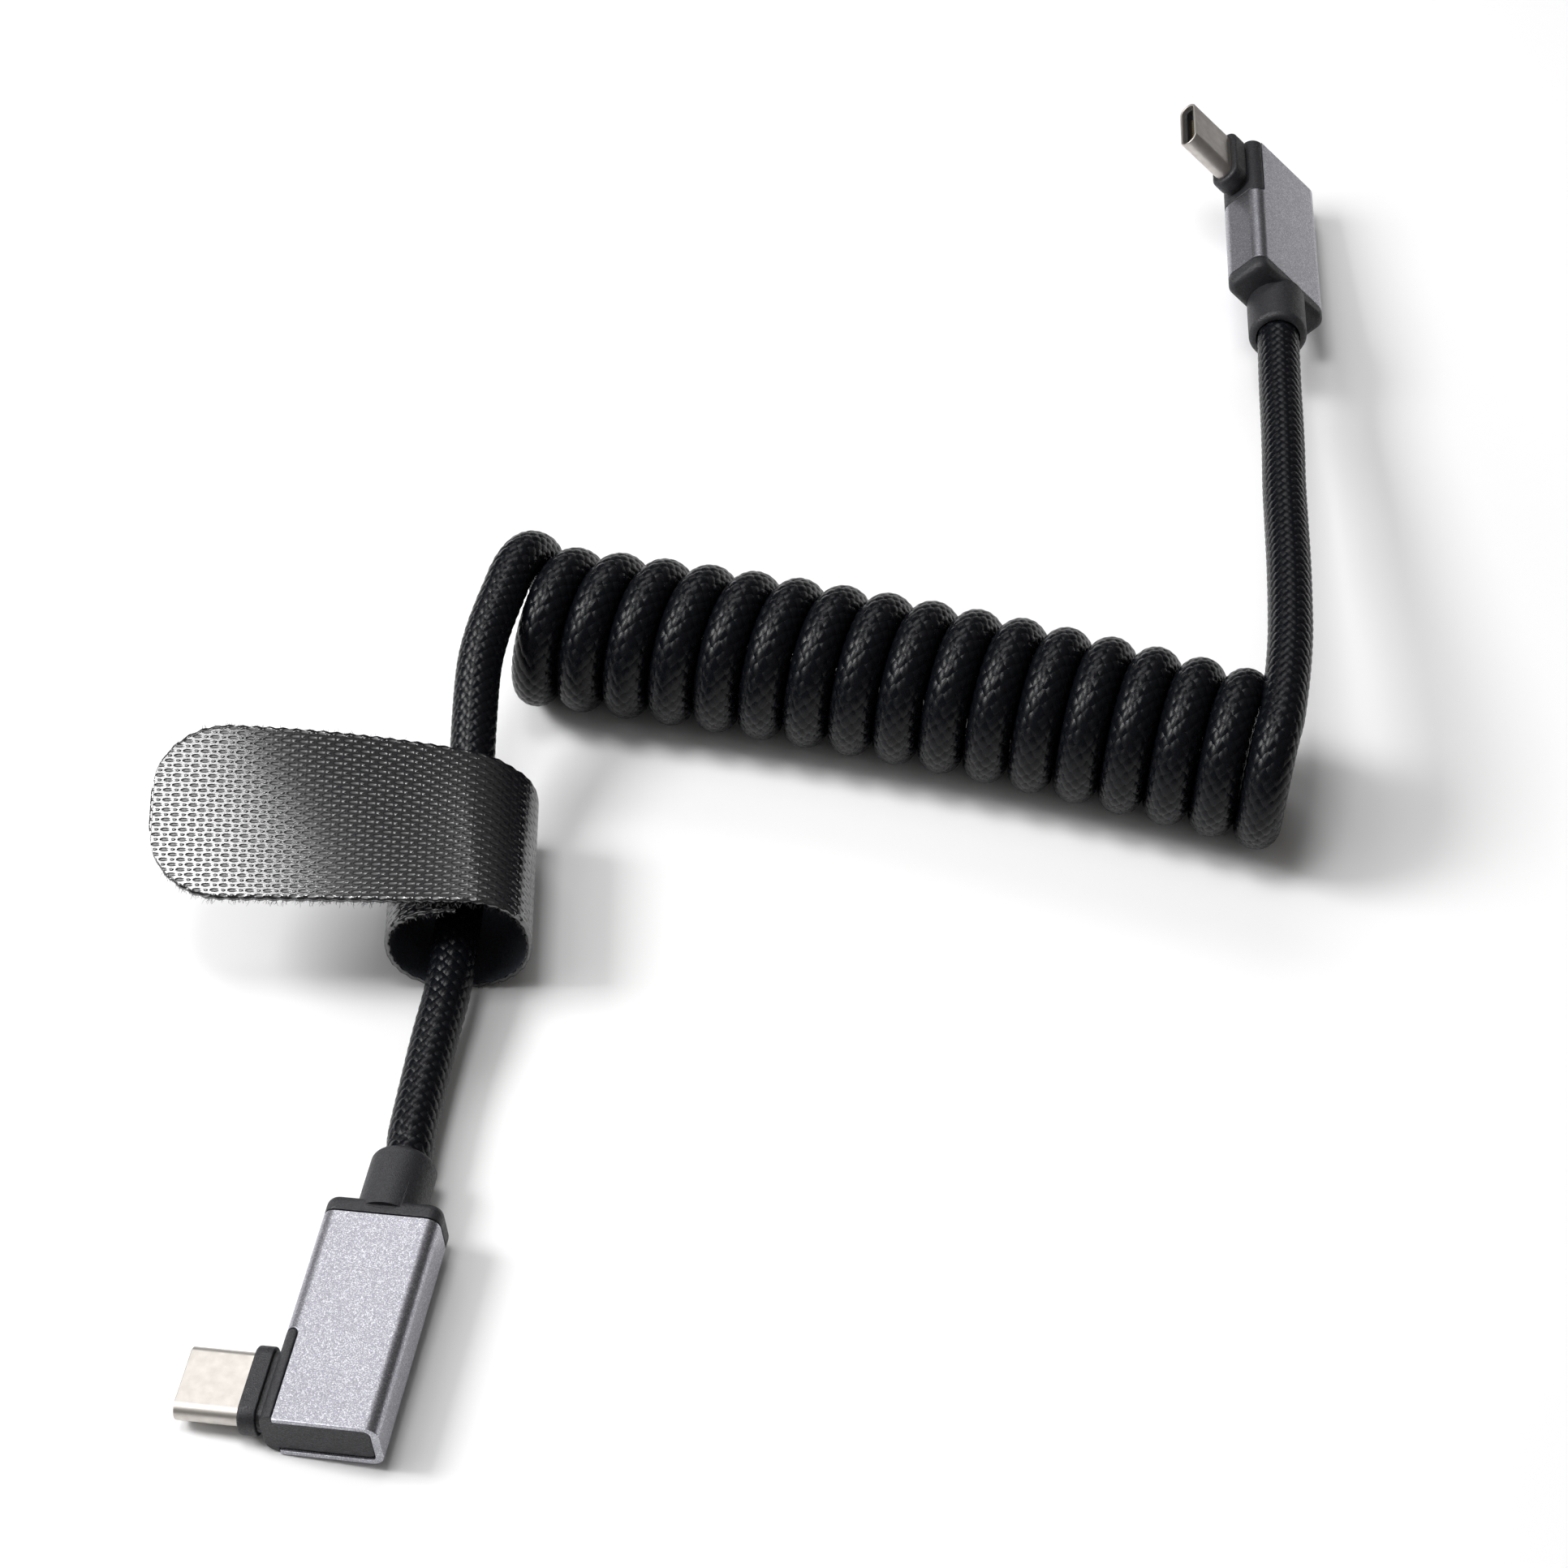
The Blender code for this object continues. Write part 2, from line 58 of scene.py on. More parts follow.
# The cable: a round 5 mm charging lead under a tight braid of black nylon yarn, wound to the left
# into 17 close turns in its middle. Its two ends run straight from the coil into the plugs' boots.
# The numbers of its route are in millimetres and radians
CABLE_RADIUS = 2.5
COIL_TURNS = 17
COIL_START = Vector((-28.93, 12.42, 0.0))
COIL_HEADING = 0.26
COIL_PITCH = 5.064
COIL_RADIUS = 6.63
COIL_WIDENS = 0.47
COIL_BOW = 2.08
FIRST_RING_LEAN = 0.263
LAST_RING_LEAN = 0.178
RING_TIP = -0.052
FIRST_TURN_STANDS_OFF = 1.355
LAST_TURN_STANDS_OFF = 0.23
PLACES_PER_TURN = 24
PLACES_BETWEEN = 24
CABLE_STEP = 0.1 * MM
LEFT_LEAD = (
    (-37.23, -55.05, 3.6), (-36.48, -49.25, 3.65), (-35.58, -43.05, 3.95), (-34.38, -35.85, 4.6),
    (-33.48, -24.95, 6.2), (-33.08, -15.15, 8.15), (-32.88, -5.05, 11.4), (-32.53, 0.85, 13.7),
    (-31.83, 4.4, 15.0), (-30.93, 7.4, 15.9), (-29.98, 10.3, 16.55),
)
RIGHT_LEAD = (
    (54.47, -6.55, 17.1), (55.17, -2.15, 16.95), (55.82, 2.95, 16.5), (56.32, 8.95, 15.8),
    (56.77, 15.65, 15.0), (57.12, 22.45, 14.1), (57.52, 30.05, 13.1), (57.97, 36.25, 12.3),
    (58.37, 42.55, 11.4), (58.72, 49.05, 10.55),
)
LEFT_PLUG = Matrix.LocRotScale(Vector((-43.93, -92.59, 3.45)) * MM,
                               Euler([math.radians(a) for a in (0.0, -5.2, -10.5)], "XYZ"), None)
RIGHT_PLUG = Matrix.LocRotScale(Vector((60.82, 92.95, 5.75)) * MM,
                                Euler([math.radians(a) for a in (170.6, 45.0, -9.3)], "XYZ"), None)
BOOT_END = 34.2
FROM_BOOT_MOUTH = (-1.2, 0.4, 1.9)


def coil_place(turn):
    """The cable's middle a number of turns along the coil, in millimetres."""
    share = turn / COIL_TURNS
    heading = Vector((math.cos(COIL_HEADING), -math.sin(COIL_HEADING), 0.0))
    aside = Vector((math.sin(COIL_HEADING), math.cos(COIL_HEADING), 0.0))
    radius = COIL_RADIUS + COIL_WIDENS * share
    bow = COIL_BOW * 4 * share * (1 - share)
    height = Vector((0, 0, radius + CABLE_RADIUS))
    middle = COIL_START + heading * COIL_PITCH * turn + aside * bow + height
    lean = FIRST_RING_LEAN + (LAST_RING_LEAN - FIRST_RING_LEAN) * share
    across = Vector((math.sin(lean), math.cos(lean), 0.0))
    up = Vector((math.sin(RING_TIP), 0.0, math.cos(RING_TIP)))
    # The first and the last quarter turn stand off where the leads run in
    spread = FIRST_TURN_STANDS_OFF * math.exp(-((turn - 0.1) / 0.22) ** 2)
    spread += LAST_TURN_STANDS_OFF * math.exp(-((COIL_TURNS - turn) / 0.3) ** 2)
    angle = 2 * math.pi * turn
    return middle + (up * math.cos(angle) + across * math.sin(angle)) * (radius + spread)


def through(points, count):
    """A smooth curve through the points, with a number of places on each stretch."""
    points = np.array([tuple(p) for p in points])
    before = np.vstack([2 * points[0] - points[1], points[:-2]])
    after = np.vstack([points[2:], 2 * points[-1] - points[-2]])
    start, end = points[:-1], points[1:]
    u = (np.arange(count) / count)[None, :, None]
    p0, p1, p2, p3 = (p[:, None, :] for p in (before, start, end, after))
    curve = 0.5 * (2 * p1 + (p2 - p0) * u + (2 * p0 - 5 * p1 + 4 * p2 - p3) * u ** 2
                   + (3 * p1 - p0 - 3 * p2 + p3) * u ** 3)
    return np.vstack([curve.reshape(-1, 3), points[-1:]])


def even_steps(curve, step):
    """The curve in even steps, and its length."""
    run = np.concatenate([[0.0], np.cumsum(np.linalg.norm(np.diff(curve, axis=0), axis=1))])
    goals = np.linspace(0.0, run[-1], int(round(run[-1] / step)) + 1)
    return np.stack([np.interp(goals, run, curve[:, k]) for k in range(3)], axis=1), run[-1]


def unit(vectors):
    return vectors / np.linalg.norm(vectors, axis=-1, keepdims=True)


def boot_points(plug, distances):
    """Places on a plug's middle line, by their distance out of the boot's mouth."""
    return [plug @ Vector((0.0, (BOOT_END + d) * MM, 0.0)) for d in distances]


coil_points = [coil_place(k / PLACES_PER_TURN) for k in range(PLACES_PER_TURN * COIL_TURNS + 1)]
route = boot_points(LEFT_PLUG, FROM_BOOT_MOUTH)
route += [Vector(p) * MM for p in LEFT_LEAD]
route += [p * MM for p in coil_points]
route += [Vector(p) * MM for p in RIGHT_LEAD]
route += boot_points(RIGHT_PLUG, reversed(FROM_BOOT_MOUTH))
cable_line, cable_length = even_steps(through(route, PLACES_BETWEEN), CABLE_STEP)

# Two directions square to the cable, carried along it without twist
cable_way = unit(np.gradient(cable_line, axis=0))
carried = [unit(np.cross(cable_way[0], (0.0, 0.0, 1.0)))]
for way in cable_way[1:]:
    turned = carried[-1] - way * np.dot(carried[-1], way)
    carried.append(turned / np.linalg.norm(turned))
cable_side = np.array(carried)
cable_up = np.cross(cable_way, cable_side)


def on_cable(run, angle, radius):
    """Places round the cable, by the run along it, the angle round it and the distance out."""
    index = np.clip(run / cable_length, 0.0, 1.0) * (len(cable_line) - 1)
    low = np.minimum(index.astype(int), len(cable_line) - 2)
    part = (index - low)[..., None]
    middle = cable_line[low] * (1 - part) + cable_line[low + 1] * part
    side = cable_side[low] * (1 - part) + cable_side[low + 1] * part
    up = cable_up[low] * (1 - part) + cable_up[low + 1] * part
    outward = side * np.cos(angle)[..., None] + up * np.sin(angle)[..., None]
    return middle + outward * radius[..., None]


def grid_faces(rows, columns, closed=False):
    """Corner numbers of the quads between rows of points, rolled round when closed."""
    across = np.arange(columns if closed else columns - 1)
    row, column = np.meshgrid(np.arange(rows - 1), across, indexing="ij")
    following = (column + 1) % columns
    return np.stack([row * columns + column, row * columns + following,
                     (row + 1) * columns + following, (row + 1) * columns + column],
                    axis=-1).reshape(-1, 4)


def piece_from(name, points, faces, across_and_along=None):
    """A new piece from its points and quads, with a UV place for each point."""
    mesh = bpy.data.meshes.new(name)
    mesh.vertices.add(len(points))
    mesh.vertices.foreach_set("co", np.ascontiguousarray(points, dtype=np.float32).ravel())
    mesh.loops.add(faces.size)
    mesh.loops.foreach_set("vertex_index", faces.ravel().astype(np.int32))
    mesh.polygons.add(len(faces))
    mesh.polygons.foreach_set("loop_start", np.arange(0, faces.size, 4, dtype=np.int32))
    if across_and_along is not None:
        layer = mesh.uv_layers.new(name="along")
        layer.data.foreach_set("uv", across_and_along[faces.ravel()].astype(np.float32).ravel())
    mesh.update(calc_edges=True)
    mesh.validate()
    mesh.shade_smooth()
    piece = bpy.data.objects.new(name, mesh)
    scene.collection.objects.link(piece)
    return piece


def new_finish(name, **sockets):
    """A material with its plain values set on the shader, given back with its node tree."""
    finish = bpy.data.materials.new(name)
    finish.use_nodes = True
    shader = finish.node_tree.nodes["Principled BSDF"]
    for socket, value in sockets.items():
        shader.inputs[socket.replace("_", " ")].default_value = value
    return finish, finish.node_tree, shader


def add_node(tree, kind, inputs=(), **settings):
    """A node with its settings, and its inputs given as a value or as another node's socket."""
    node = tree.nodes.new(kind)
    for setting, value in settings.items():
        setattr(node, setting, value)
    for key, value in dict(inputs).items():
        if isinstance(value, bpy.types.NodeSocket):
            tree.links.new(value, node.inputs[key])
        else:
            node.inputs[key].default_value = value
    return node


def noise(tree, scale, detail=2.0, roughness=0.5, place=None):
    """Cloudy noise, over the piece's own coordinates unless another place is given."""
    if place is None:
        place = add_node(tree, "ShaderNodeTexCoord").outputs["Object"]
    return add_node(tree, "ShaderNodeTexNoise", {
        "Vector": place, "Scale": scale, "Detail": detail, "Roughness": roughness}).outputs["Fac"]


def relief(tree, shader, height, distance, strength):
    """Fine relief in the surface's shading."""
    bump = add_node(tree, "ShaderNodeBump",
                    {"Height": height, "Distance": distance, "Strength": strength})
    tree.links.new(bump.outputs["Normal"], shader.inputs["Normal"])


# The dark jacket shows only between the yarns
JACKET_RADIUS = 2.27 * MM
JACKET_SIDES = 12
JACKET_STEP = 1.0 * MM
ring_run = np.linspace(0.0, cable_length, int(cable_length / JACKET_STEP))
angles = 2 * np.pi * np.arange(JACKET_SIDES) / JACKET_SIDES
run_grid, angle_grid = np.meshgrid(ring_run, angles, indexing="ij")
jacket_points = on_cable(run_grid, angle_grid, np.full(run_grid.shape, JACKET_RADIUS))
jacket = piece_from("cable_jacket", jacket_points.reshape(-1, 3),
                    grid_faces(len(ring_run), JACKET_SIDES, closed=True))
jacket_finish, tree, shader = new_finish("cable_jacket", Base_Color=(0.006, 0.006, 0.007, 1),
                                         Roughness=0.8)
relief(tree, shader, noise(tree, 3000.0), 0.00005, 0.5)
jacket.data.materials.append(jacket_finish)

# The braid: ten flat yarns each way round the cable, every one over one and under the next
YARNS = 10
CELL = 1.32 * MM
BRAID_RADIUS = 2.395 * MM
YARN_LIFT = 0.055 * MM
YARN_CROWN = 0.08 * MM
STEPS_PER_CELL = 6
BRAID_SLOPE = 2 * np.pi * BRAID_RADIUS / YARNS / CELL
BRAID_LEAN = math.atan(BRAID_SLOPE)
YARN_HALF_WIDTH = 0.485 * CELL * BRAID_SLOPE * math.cos(BRAID_LEAN)
YARN_ACROSS = np.array((-1.0, -0.62, 0.0, 0.62, 1.0))
# Each yarn has its own place in the filaments' noise, and the two hands lie well apart in it
PLACE_PER_YARN = 3
PLACE_OF_OTHER_HAND = 40
BRAID_PIECES = 4


def braid_piece(name, start, end):
    """The yarns of one stretch of the cable."""
    run = np.linspace(start, end, int(round((end - start) / CELL * STEPS_PER_CELL)) + 1)
    across = YARN_ACROSS[None, :] * YARN_HALF_WIDTH
    points, places, faces = [], [], []
    one = grid_faces(len(run), len(YARN_ACROSS))
    for hand in (1, -1):
        lift = hand * YARN_LIFT * np.sin(np.pi / 2 * np.cos(2 * np.pi * run / CELL))
        for yarn in range(YARNS):
            angle = 2 * np.pi * yarn / YARNS + hand * run * BRAID_SLOPE / BRAID_RADIUS
            runs = run[:, None] - hand * across * math.sin(BRAID_LEAN)
            turn = angle[:, None] + across * math.cos(BRAID_LEAN) / BRAID_RADIUS
            radius = BRAID_RADIUS + lift[:, None] + YARN_CROWN * (0.6 - YARN_ACROSS[None, :] ** 2)
            faces.append(one + len(points) * len(run) * len(YARN_ACROSS))
            places_round = np.broadcast_to(radius, runs.shape)
            points.append(on_cable(runs, turn, places_round).reshape(-1, 3))
            own_place = PLACE_PER_YARN * yarn + (PLACE_OF_OTHER_HAND if hand < 0 else 0)
            u = np.broadcast_to(YARN_ACROSS[None, :] / 2 + 0.5 + own_place, runs.shape)
            v = np.broadcast_to(run[:, None] * 1000, runs.shape)
            places.append(np.stack([u, v], axis=-1).reshape(-1, 2))
    return piece_from(name, np.vstack(points), np.vstack(faces), np.vstack(places))


def vary(tree, shader, socket, value, stops):
    """Feed a shader's socket from a ramp over a value, with (place, grey or colour) stops."""
    ramp = add_node(tree, "ShaderNodeValToRGB", {"Fac": value})
    elements = ramp.color_ramp.elements
    while len(elements) < len(stops):
        elements.new(0.5)
    for element, (place, colour) in zip(elements, stops):
        if not isinstance(colour, tuple):
            colour = (colour, colour, colour)
        element.position, element.color = place, (*colour, 1.0)
    tree.links.new(ramp.outputs["Color"], shader.inputs[socket])


# The gloss lies across the yarns' filaments, so each yarn shines along its own way
braid_finish, tree, shader = new_finish("black_nylon_braid", Specular_IOR_Level=0.17,
                                        Anisotropic=0.9)
tangent = add_node(tree, "ShaderNodeTangent", direction_type="UV_MAP", uv_map="along")
tree.links.new(tangent.outputs["Tangent"], shader.inputs["Tangent"])
uv = add_node(tree, "ShaderNodeTexCoord").outputs["UV"]
drawn_out = add_node(tree, "ShaderNodeMapping", {"Vector": uv, "Scale": (14.0, 1.6, 1.0)})
filaments = noise(tree, 1.0, 3.0, 0.6, drawn_out.outputs["Vector"])
vary(tree, shader, "Base Color", filaments,
     ((0.3, (0.0015, 0.0018, 0.0027)), (0.75, (0.005, 0.0056, 0.008))))
vary(tree, shader, "Roughness", filaments, ((0.3, 0.31), (0.7, 0.21)))
relief(tree, shader, filaments, 0.00003, 0.4)

for number in range(BRAID_PIECES):
    braid = braid_piece("cable_braid_%d" % (number + 1), cable_length * number / BRAID_PIECES,
                        cable_length * (number + 1) / BRAID_PIECES)
    braid.data.materials.append(braid_finish)
    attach(braid, "root")
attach(jacket, "root")
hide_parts("left_lead", "coil", "right_lead")

# The sleeves: a flat aluminium extrusion round each plug, bead blasted and anodised grey. One
# side is cut away from the open end for the moulding that carries the connector.
BODY_WIDTH = 12.16 * MM
BODY_THICKNESS = 5.87 * MM
BODY_CORNER = 1.46 * MM
BORE_CORNER = 0.7 * MM
SLEEVE_LENGTH = 25.5 * MM
SIDE_WALL = 0.88 * MM
FACE_WALL = 0.6 * MM
NOTCH_LENGTH = 11.0 * MM
NOTCH_EDGE = -4.55 * MM
NOTCH_CORNER = 0.8 * MM
CUT_PAST = 2.0 * MM
ALONG_PLUG, ACROSS_PLUG, THROUGH_PLUG = 1, 0, 2
half_width, half_height = BODY_WIDTH / 2, BODY_THICKNESS / 2


def start_piece(name):
    """The new primitive, named and with its size and place taken into its mesh."""
    piece = bpy.context.object
    piece.name = piece.data.name = name
    bpy.ops.object.transform_apply(location=True, rotation=True, scale=True)
    return piece


def block(name, low, high):
    bpy.ops.object.select_all(action="DESELECT")
    low, high = Vector(low), Vector(high)
    bpy.ops.mesh.primitive_cube_add(size=1.0, location=(low + high) / 2)
    bpy.context.object.scale = high - low
    return start_piece(name)


def only(piece):
    bpy.ops.object.select_all(action="DESELECT")
    piece.select_set(True)
    bpy.context.view_layer.objects.active = piece


def pick(piece, kind, wanted):
    """Edit mode with only the wanted edges or faces selected, each judged by its corners."""
    only(piece)
    bpy.ops.object.mode_set(mode="EDIT")
    bpy.context.tool_settings.mesh_select_mode = (False, kind == "edge", kind == "face")
    bpy.ops.mesh.select_all(action="DESELECT")
    bpy.ops.object.mode_set(mode="OBJECT")
    mesh = piece.data
    for part in (mesh.edges if kind == "edge" else mesh.polygons):
        part.select = wanted([mesh.vertices[v].co for v in part.vertices])
    bpy.ops.object.mode_set(mode="EDIT")


def round_edges(piece, wanted, width, segments):
    pick(piece, "edge", wanted)
    bpy.ops.mesh.bevel(offset=width, segments=segments, profile=0.5, affect="EDGES")
    bpy.ops.object.mode_set(mode="OBJECT")


def runs_along(axis):
    others = [k for k in range(3) if k != axis]
    return lambda corners: all(abs(corners[0][k] - corners[1][k]) < 1e-7 for k in others)


def lies_at(axis, place):
    return lambda corners: all(abs(corner[axis] - place) < 1e-6 for corner in corners)


def combine(piece, tool, operation):
    only(piece)
    cut = piece.modifiers.new("cut", "BOOLEAN")
    cut.operation, cut.object, cut.solver = operation, tool, "EXACT"
    bpy.ops.object.modifier_apply(modifier=cut.name)
    bpy.data.objects.remove(tool)


def smooth_faces(piece):
    """Rounded edges shade smoothly, and the flat faces between them stay flat."""
    only(piece)
    bpy.ops.object.shade_smooth_by_angle(angle=math.radians(35.0))
    flats = piece.modifiers.new("flat_faces", "WEIGHTED_NORMAL")
    flats.keep_sharp, flats.weight = True, 100
    bpy.ops.object.modifier_apply(modifier=flats.name)


def break_edges(piece, width, segments=2, angle=40.0):
    """A small radius on every sharp edge, and smooth shading."""
    only(piece)
    bevel = piece.modifiers.new("broken_edges", "BEVEL")
    bevel.width, bevel.segments, bevel.limit_method = width, segments, "ANGLE"
    bevel.angle_limit, bevel.use_clamp_overlap = math.radians(angle), False
    bpy.ops.object.modifier_apply(modifier=bevel.name)
    smooth_faces(piece)


sleeve = block("sleeve", (-half_width, 0.0, -half_height),
               (half_width, SLEEVE_LENGTH, half_height))
round_edges(sleeve, runs_along(ALONG_PLUG), BODY_CORNER, 10)
bore = block("bore", (SIDE_WALL - half_width, -CUT_PAST, FACE_WALL - half_height),
             (half_width - SIDE_WALL, SLEEVE_LENGTH + CUT_PAST, half_height - FACE_WALL))
round_edges(bore, runs_along(ALONG_PLUG), BORE_CORNER, 5)
combine(sleeve, bore, "DIFFERENCE")
notch = block("notch", (-half_width - CUT_PAST, -CUT_PAST, -half_height - CUT_PAST),
              (NOTCH_EDGE, NOTCH_LENGTH, half_height + CUT_PAST))
round_edges(notch, runs_along(THROUGH_PLUG), NOTCH_CORNER, 6)
combine(sleeve, notch, "DIFFERENCE")
break_edges(sleeve, 0.09 * MM)


def maths(tree, operation, *values):
    """A sum, product or other step of arithmetic on values and other nodes' sockets."""
    return add_node(tree, "ShaderNodeMath", dict(enumerate(values)), operation=operation).outputs[0]


# Blasted and spark-eroded grain: small pits of one size, each with a brightness of its own
grain_group = bpy.data.node_groups.new("fine_grain", "ShaderNodeTree")
for socket, way in (("Size", "INPUT"), ("Height", "OUTPUT"), ("Fleck", "OUTPUT")):
    grain_group.interface.new_socket(socket, in_out=way, socket_type="NodeSocketFloat")
size = add_node(grain_group, "NodeGroupInput").outputs["Size"]
place = add_node(grain_group, "ShaderNodeTexCoord").outputs["Object"]
scale = maths(grain_group, "DIVIDE", 1.0, size)
pits = add_node(grain_group, "ShaderNodeTexVoronoi", {"Vector": place, "Scale": scale})
soft = noise(grain_group, scale, 4.0, place=place)
fleck = add_node(grain_group, "ShaderNodeSeparateColor", {"Color": pits.outputs["Color"]})
leaving = add_node(grain_group, "NodeGroupOutput")
grain_group.links.new(maths(grain_group, "ADD", pits.outputs["Distance"], soft),
                      leaving.inputs["Height"])
grain_group.links.new(fleck.outputs["Red"], leaving.inputs["Fleck"])


def add_grain(tree, shader, size, distance, strength):
    """Grain on the surface. What comes back is the brightness of each fleck."""
    grain = add_node(tree, "ShaderNodeGroup", node_tree=grain_group)
    grain.inputs["Size"].default_value = size
    relief(tree, shader, grain.outputs["Height"], distance, strength)
    return grain.outputs["Fleck"]


sleeve_finish, tree, shader = new_finish("anodised_aluminium", Metallic=1.0)
flecks = add_grain(tree, shader, 0.085 * MM, 0.00002, 0.45)
vary(tree, shader, "Base Color", flecks,
     ((0.0, (0.25, 0.25, 0.28)), (0.7, (0.37, 0.368, 0.41)), (1.0, (0.68, 0.68, 0.72))))
vary(tree, shader, "Roughness", flecks, ((0.0, 0.38), (1.0, 0.3)))
sleeve.data.materials.append(sleeve_finish)

# The cores: one black moulding in each sleeve, flush in its open end. Its side strip fills the
# sleeve's cut-out and carries a collar on a narrower neck, into which the connector is pressed.
TONGUE_WIDTH = 8.25 * MM
TONGUE_HEIGHT = 2.4 * MM
TONGUE_REACH = 6.65 * MM
TONGUE_CENTRE = 5.1 * MM
TONGUE_ROUND = 0.49 * TONGUE_HEIGHT
COLLAR_WIDTH = 9.6 * MM
COLLAR_HEIGHT = 3.9 * MM
COLLAR_REACH = 2.5 * MM
COLLAR_CORNER = 1.7 * MM
NECK_INSET = 0.4 * MM
STRIP_GAP = 0.1 * MM
STRIP_LENGTH = 13.0 * MM
SEAT_DEPTH = 1.8 * MM
SEAT_PLAY = 0.05 * MM
SHADOW_GAP = 0.09 * MM
side_inset, face_inset = SIDE_WALL + SHADOW_GAP, FACE_WALL + SHADOW_GAP
core_face = 0.25 * MM
collar_back = -half_width - 0.6 * MM
tip = -half_width - COLLAR_REACH


def tongue_block(name, start, end, inset=0.0):
    """A block about the tongue's middle line, drawn in all round by the inset."""
    return block(name, (start, TONGUE_CENTRE - TONGUE_WIDTH / 2 + inset, inset - TONGUE_HEIGHT / 2),
                 (end, TONGUE_CENTRE + TONGUE_WIDTH / 2 - inset, TONGUE_HEIGHT / 2 - inset))


core = block("core", (side_inset - half_width, core_face, face_inset - half_height),
             (half_width - side_inset, SLEEVE_LENGTH, half_height - face_inset))
round_edges(core, runs_along(ALONG_PLUG), 0.65 * MM, 5)
round_edges(core, lies_at(ALONG_PLUG, core_face), 0.15 * MM, 2)
strip = block("strip", (-half_width, core_face, -half_height),
              (half_width, STRIP_LENGTH, half_height))
round_edges(strip, runs_along(ALONG_PLUG), BODY_CORNER, 10)
plan = block("plan", (-half_width - CUT_PAST, -CUT_PAST, -half_height - CUT_PAST),
             (NOTCH_EDGE - STRIP_GAP, NOTCH_LENGTH - STRIP_GAP, half_height + CUT_PAST))
round_edges(plan, runs_along(THROUGH_PLUG), NOTCH_CORNER - STRIP_GAP, 6)
combine(strip, plan, "INTERSECT")
break_edges(strip, 0.16 * MM, 3)
combine(core, strip, "UNION")
collar_low, collar_high = TONGUE_CENTRE - COLLAR_WIDTH / 2, TONGUE_CENTRE + COLLAR_WIDTH / 2
neck = block("neck",
             (-half_width - 0.8 * MM, collar_low + NECK_INSET, NECK_INSET - COLLAR_HEIGHT / 2),
             (-half_width + 1.2 * MM, collar_high - NECK_INSET, COLLAR_HEIGHT / 2 - NECK_INSET))
round_edges(neck, runs_along(ACROSS_PLUG), COLLAR_CORNER - NECK_INSET, 8)
combine(core, neck, "UNION")
collar = block("collar", (tip, collar_low, -COLLAR_HEIGHT / 2),
               (collar_back, collar_high, COLLAR_HEIGHT / 2))
round_edges(collar, runs_along(ACROSS_PLUG), COLLAR_CORNER, 8)
round_edges(collar, lies_at(ACROSS_PLUG, tip), 0.35 * MM, 4)
round_edges(collar, lies_at(ACROSS_PLUG, collar_back), 0.15 * MM, 2)
combine(core, collar, "UNION")
seat = tongue_block("seat", tip - CUT_PAST, tip + SEAT_DEPTH, -SEAT_PLAY)
round_edges(seat, runs_along(ACROSS_PLUG), TONGUE_ROUND, 8)
combine(core, seat, "DIFFERENCE")
smooth_faces(core)

moulding_finish, tree, shader = new_finish("black_moulding", Specular_IOR_Level=0.5)
flecks = add_grain(tree, shader, 0.13 * MM, 0.00004, 0.8)
vary(tree, shader, "Base Color", flecks,
     ((0.0, (0.003, 0.0033, 0.0045)), (1.0, (0.017, 0.0175, 0.022))))
vary(tree, shader, "Roughness", flecks, ((0.0, 0.6), (1.0, 0.42)))
core.data.materials.append(moulding_finish)

# The connector shells: deep-drawn stainless tubes with a satin nickel plate, pressed into the
# collars. The open tip is drawn in to a rounded lip.
SHELL_WALL = 0.3 * MM
shell_tip, shell_root = tip - TONGUE_REACH, tip + 1.6 * MM
shell = tongue_block("shell", shell_tip, shell_root)
round_edges(shell, runs_along(ACROSS_PLUG), TONGUE_ROUND, 12)
shell_bore = tongue_block("shell_bore", shell_tip - CUT_PAST, shell_root + CUT_PAST, SHELL_WALL)
round_edges(shell_bore, runs_along(ACROSS_PLUG), TONGUE_ROUND - SHELL_WALL, 8)
combine(shell, shell_bore, "DIFFERENCE")
break_edges(shell, 0.12 * MM, 3, 50.0)

shell_finish, tree, shader = new_finish("satin_nickel_plate", Metallic=1.0)
cloud = noise(tree, 900.0, 5.0)
vary(tree, shader, "Base Color", cloud, ((0.3, (0.5, 0.47, 0.44)), (0.7, (0.6, 0.57, 0.535))))
vary(tree, shader, "Roughness", cloud, ((0.3, 0.46), (0.7, 0.38)))
relief(tree, shader, noise(tree, 12000.0), 0.000008, 0.3)
shell.data.materials.append(shell_finish)

# The insulators: a smooth black carrier inside each shell, slotted for the socket's tongue, with
# twelve gilt contact springs on each side of the slot.
SLOT_HALF_WIDTH = 3.3 * MM
SLOT_HALF_HEIGHT = 0.42 * MM
SLOT_DEPTH = 5.0 * MM
CONTACTS = 12
CONTACT_PITCH = 0.5 * MM
CONTACT_HALF_WIDTH = 0.13 * MM
tip_face = shell_tip + 0.45 * MM
insulator = tongue_block("insulator", tip_face, shell_root, 0.32 * MM)
round_edges(insulator, runs_along(ACROSS_PLUG), TONGUE_ROUND - 0.34 * MM, 8)
slot_block = block("slot",
                   (tip_face - CUT_PAST, TONGUE_CENTRE - SLOT_HALF_WIDTH, -SLOT_HALF_HEIGHT),
                   (tip_face + SLOT_DEPTH, TONGUE_CENTRE + SLOT_HALF_WIDTH, SLOT_HALF_HEIGHT))
round_edges(slot_block, runs_along(ACROSS_PLUG), 0.12 * MM, 3)
combine(insulator, slot_block, "DIFFERENCE")
break_edges(insulator, 0.06 * MM, 2, 50.0)
insulator_finish, tree, shader = new_finish("black_insulator", Roughness=0.38)
